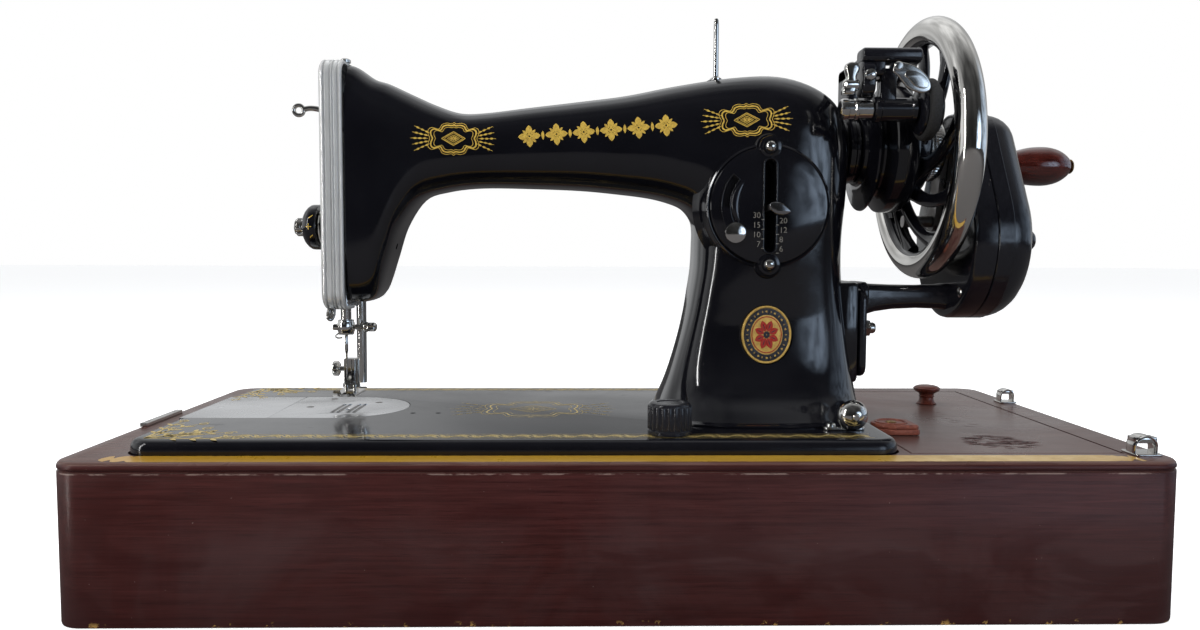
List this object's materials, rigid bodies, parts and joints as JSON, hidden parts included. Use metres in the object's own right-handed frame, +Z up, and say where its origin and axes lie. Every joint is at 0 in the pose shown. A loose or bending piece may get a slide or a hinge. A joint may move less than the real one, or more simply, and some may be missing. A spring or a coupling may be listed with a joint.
{
  "type": "sewing machine",
  "caption": "Hand-cranked lockstitch sewing machine with a gloss black cast arm and bed, a geared crank, a spoked hand wheel and a wooden base with a storage compartment.",
  "frame": {"origin": "middle of the wooden base on its underside", "axes": "+X towards the hand wheel along the base, +Y away from the operator, +Z up"},
  "size_m": [0.5604, 0.24, 0.3038],
  "materials": {
    "base_walls": "dark red-brown varnish, satin to gloss",
    "base_floor": "dark red-brown varnish, satin to gloss",
    "base_top": "dark red-brown varnish, satin to gloss",
    "catch_loop_front": "bright nickel or chrome plate",
    "catch_loop_rear": "bright nickel or chrome plate",
    "catch_tongue": "machined steel",
    "hinge_left": "machined steel",
    "hinge_right": "machined steel",
    "compartment_lid": "dark red-brown varnish, satin to gloss",
    "lid_knob": "dark red-brown varnish, satin to gloss",
    "turn_button": "dark red-brown varnish, satin to gloss",
    "bed": "gloss black enamel",
    "arm": "gloss black enamel",
    "slide_plate": "bright nickel or chrome plate",
    "needle_plate": "bright nickel or chrome plate",
    "shaft_bushing": "gloss black enamel",
    "spool_pin": "bright nickel or chrome plate",
    "dial_plate": "gloss black enamel",
    "dial_screw_top": "bright nickel or chrome plate",
    "dial_screw_bottom": "bright nickel or chrome plate",
    "stitch_lever": "bright nickel or chrome plate",
    "stop_nut": "bright nickel or chrome plate",
    "badge": "embossed gilt brass",
    "face_plate": "bright nickel or chrome plate",
    "tension_stud": "bright nickel or chrome plate",
    "tension_dial": "gloss black moulded",
    "tension_nut": "bright nickel or chrome plate",
    "take_up_lever": "bright nickel or chrome plate",
    "needle_bar": "bright nickel or chrome plate",
    "needle_clamp": "bright nickel or chrome plate",
    "clamp_screw": "bright nickel or chrome plate",
    "needle": "bright nickel or chrome plate",
    "needle_link": "machined steel",
    "presser_bar": "bright nickel or chrome plate",
    "presser_foot": "bright nickel or chrome plate",
    "foot_screw": "bright nickel or chrome plate",
    "presser_lifter": "bright nickel or chrome plate",
    "wheel_rim": "bright nickel or chrome plate",
    "wheel_spider": "gloss black enamel",
    "stop_motion_knob": "bright nickel or chrome plate",
    "arm_shaft": "machined steel",
    "winder_bracket": "gloss black enamel",
    "winder_frame": "gloss black enamel",
    "winder_spindle": "bright nickel or chrome plate",
    "winder_tyre": "matt black rubber",
    "winder_wing": "bright nickel or chrome plate",
    "winder_latch": "bright nickel or chrome plate",
    "feed_knob": "gloss black moulded",
    "winder_tension_bracket": "bright nickel or chrome plate",
    "winder_tension_disc": "bright nickel or chrome plate",
    "crank_bracket": "gloss black enamel",
    "crank_cover": "gloss black enamel",
    "bracket_screw": "bright nickel or chrome plate",
    "crank_gear": "machined steel",
    "crank_pinion": "machined steel",
    "crank_arm": "gloss black enamel",
    "crank_nut": "machined steel",
    "crank_handle": "dark red lacquer, glossy",
    "shuttle_hook": "machined steel",
    "feed_dog": "machined steel"
  },
  "bodies": {
    "base": {"base_walls": "base_walls", "base_floor": "base_floor", "base_top": "base_top", "catch_loop_front": "catch_loop_front", "catch_loop_rear": "catch_loop_rear", "catch_tongue": "catch_tongue", "hinge_left": "hinge_left", "hinge_right": "hinge_right"},
    "lid": {"compartment_lid": "compartment_lid", "lid_knob": "lid_knob"},
    "lid_button": {"turn_button": "turn_button"},
    "head": {"bed": "bed", "arm": "arm", "needle_plate": "needle_plate", "shaft_bushing": "shaft_bushing", "spool_pin": "spool_pin", "dial_plate": "dial_plate", "dial_screw_top": "dial_screw_top", "dial_screw_bottom": "dial_screw_bottom", "badge": "badge", "face_plate": "face_plate", "tension_stud": "tension_stud", "winder_tension_bracket": "winder_tension_bracket", "winder_bracket": "winder_bracket", "crank_bracket": "crank_bracket", "crank_cover": "crank_cover", "bracket_screw": "bracket_screw"},
    "bobbin_cover": {"slide_plate": "slide_plate"},
    "wheel": {"wheel_rim": "wheel_rim", "wheel_spider": "wheel_spider", "stop_motion_knob": "stop_motion_knob", "arm_shaft": "arm_shaft"},
    "pinion": {"crank_pinion": "crank_pinion"},
    "crank": {"crank_gear": "crank_gear", "crank_arm": "crank_arm", "crank_nut": "crank_nut"},
    "crank_grip": {"crank_handle": "crank_handle"},
    "needle_bar_set": {"needle_bar": "needle_bar", "needle_clamp": "needle_clamp", "needle": "needle"},
    "needle_screw": {"clamp_screw": "clamp_screw"},
    "bar_link": {"needle_link": "needle_link"},
    "take_up": {"take_up_lever": "take_up_lever"},
    "presser": {"presser_bar": "presser_bar", "presser_foot": "presser_foot"},
    "presser_screw": {"foot_screw": "foot_screw"},
    "lifter": {"presser_lifter": "presser_lifter"},
    "thread_dial": {"tension_dial": "tension_dial", "tension_nut": "tension_nut"},
    "stitch_control": {"stitch_lever": "stitch_lever"},
    "stitch_stop": {"stop_nut": "stop_nut"},
    "feed_control": {"feed_knob": "feed_knob"},
    "winder": {"winder_frame": "winder_frame"},
    "winder_wheel": {"winder_spindle": "winder_spindle", "winder_tyre": "winder_tyre"},
    "winder_finger": {"winder_wing": "winder_wing"},
    "winder_catch": {"winder_latch": "winder_latch"},
    "winding_tension": {"winder_tension_disc": "winder_tension_disc"},
    "hook": {"shuttle_hook": "shuttle_hook"},
    "feed": {"feed_dog": "feed_dog"}
  },
  "joints": [
    {"name": "lid_lift", "type": "slide", "parent": "base", "child": "lid", "axis": [0, 0, 1], "range_m": [0, 0.025]},
    {"name": "lid_button_turn", "type": "hinge", "parent": "lid", "child": "lid_button", "pos_m": [0.1476, -0.047, 0.08], "axis": [0, 0, 1], "range_deg": [0, 90]},
    {"name": "head_tilt", "type": "hinge", "parent": "base", "child": "head", "pos_m": [0, 0.0805, 0.0805], "axis": [-1, 0, 0], "range_deg": [0, 88]},
    {"name": "slide_plate_open", "type": "slide", "parent": "head", "child": "bobbin_cover", "axis": [-1, 0, 0], "range_m": [0, 0.042]},
    {"name": "wheel_spin", "type": "hinge", "parent": "head", "child": "wheel", "pos_m": [0.15, -0.015, 0.2315], "axis": [1, 0, 0], "continuous": true},
    {"name": "pinion_spin", "type": "hinge", "parent": "head", "child": "pinion", "pos_m": [0.195, -0.015, 0.2315], "axis": [1, 0, 0], "continuous": true},
    {"name": "crank_turn", "type": "hinge", "parent": "head", "child": "crank", "pos_m": [0.215, -0.015, 0.181], "axis": [1, 0, 0], "continuous": true},
    {"name": "handle_spin", "type": "hinge", "parent": "crank", "child": "crank_grip", "pos_m": [0.262, 0.058, 0.23], "axis": [1, 0, 0], "continuous": true},
    {"name": "needle_bar_slide", "type": "slide", "parent": "head", "child": "needle_bar_set", "axis": [0, 0, 1], "range_m": [-0.03, 0.001]},
    {"name": "clamp_screw_turn", "type": "hinge", "parent": "needle_bar_set", "child": "needle_screw", "pos_m": [-0.138, -0.014, 0.131], "axis": [1, 0, 0], "range_deg": [0, 350]},
    {"name": "link_swing", "type": "hinge", "parent": "needle_bar_set", "child": "bar_link", "pos_m": [-0.1375, -0.014, 0.217], "axis": [1, 0, 0], "range_deg": [-28, 28]},
    {"name": "take_up_swing", "type": "hinge", "parent": "head", "child": "take_up", "pos_m": [-0.144, -0.0255, 0.229], "axis": [0, 1, 0], "range_deg": [-50, 2]},
    {"name": "presser_bar_slide", "type": "slide", "parent": "head", "child": "presser", "axis": [0, 0, 1], "range_m": [-0.0075, 0.0005]},
    {"name": "foot_screw_turn", "type": "hinge", "parent": "presser", "child": "presser_screw", "pos_m": [-0.161, -0.003, 0.106], "axis": [1, 0, 0], "range_deg": [0, 350]},
    {"name": "lifter_turn", "type": "hinge", "parent": "head", "child": "lifter", "pos_m": [-0.141, 0.003, 0.166], "axis": [0, 1, 0], "range_deg": [-75, 5]},
    {"name": "tension_dial_turn", "type": "hinge", "parent": "head", "child": "thread_dial", "pos_m": [-0.168, -0.02, 0.187], "axis": [1, 0, 0], "range_deg": [-170, 170]},
    {"name": "stitch_lever_swing", "type": "hinge", "parent": "head", "child": "stitch_control", "pos_m": [0.079, -0.008, 0.1969], "axis": [1, 0, 0], "range_deg": [-17, 15]},
    {"name": "stop_nut_slide", "type": "hinge", "parent": "head", "child": "stitch_stop", "pos_m": [0.079, -0.056, 0.198], "axis": [0, 1, 0], "range_deg": [0, 66]},
    {"name": "feed_knob_turn", "type": "hinge", "parent": "head", "child": "feed_control", "pos_m": [0.0245, -0.086, 0.092], "axis": [0, 0, 1], "range_deg": [0, 90]},
    {"name": "winder_swing", "type": "hinge", "parent": "head", "child": "winder", "pos_m": [0.135, -0.066, 0.262], "axis": [1, 0, 0], "range_deg": [-2, 5]},
    {"name": "winder_spin", "type": "hinge", "parent": "winder", "child": "winder_wheel", "pos_m": [0.14, -0.066, 0.246], "axis": [1, 0, 0], "continuous": true},
    {"name": "winder_finger_swing", "type": "hinge", "parent": "head", "child": "winder_finger", "pos_m": [0.116, -0.0695, 0.2575], "axis": [1, 0, 0], "range_deg": [0, 30]},
    {"name": "winder_catch_swing", "type": "hinge", "parent": "head", "child": "winder_catch", "pos_m": [0.136, -0.074, 0.265], "axis": [0, 1, 0], "range_deg": [-20, 8]},
    {"name": "winding_tension_turn", "type": "hinge", "parent": "head", "child": "winding_tension", "pos_m": [0.1165, -0.084, 0.0922], "axis": [0, 1, 0], "continuous": true},
    {"name": "hook_swing", "type": "hinge", "parent": "head", "child": "hook", "pos_m": [-0.16, -0.014, 0.056], "axis": [1, 0, 0], "range_deg": [-100, 100]},
    {"name": "feed_dog_slide", "type": "slide", "parent": "head", "child": "feed", "axis": [0, 1, 0], "range_m": [-0.002, 0.002]}
  ],
  "couplings": [
    {"joint": "pinion_spin", "follows": "wheel_spin", "ratio": 1},
    {"joint": "crank_turn", "follows": "wheel_spin", "ratio": -0.33333},
    {"joint": "lifter_turn", "follows": "presser_bar_slide", "rad_per_m": 150}
  ]
}
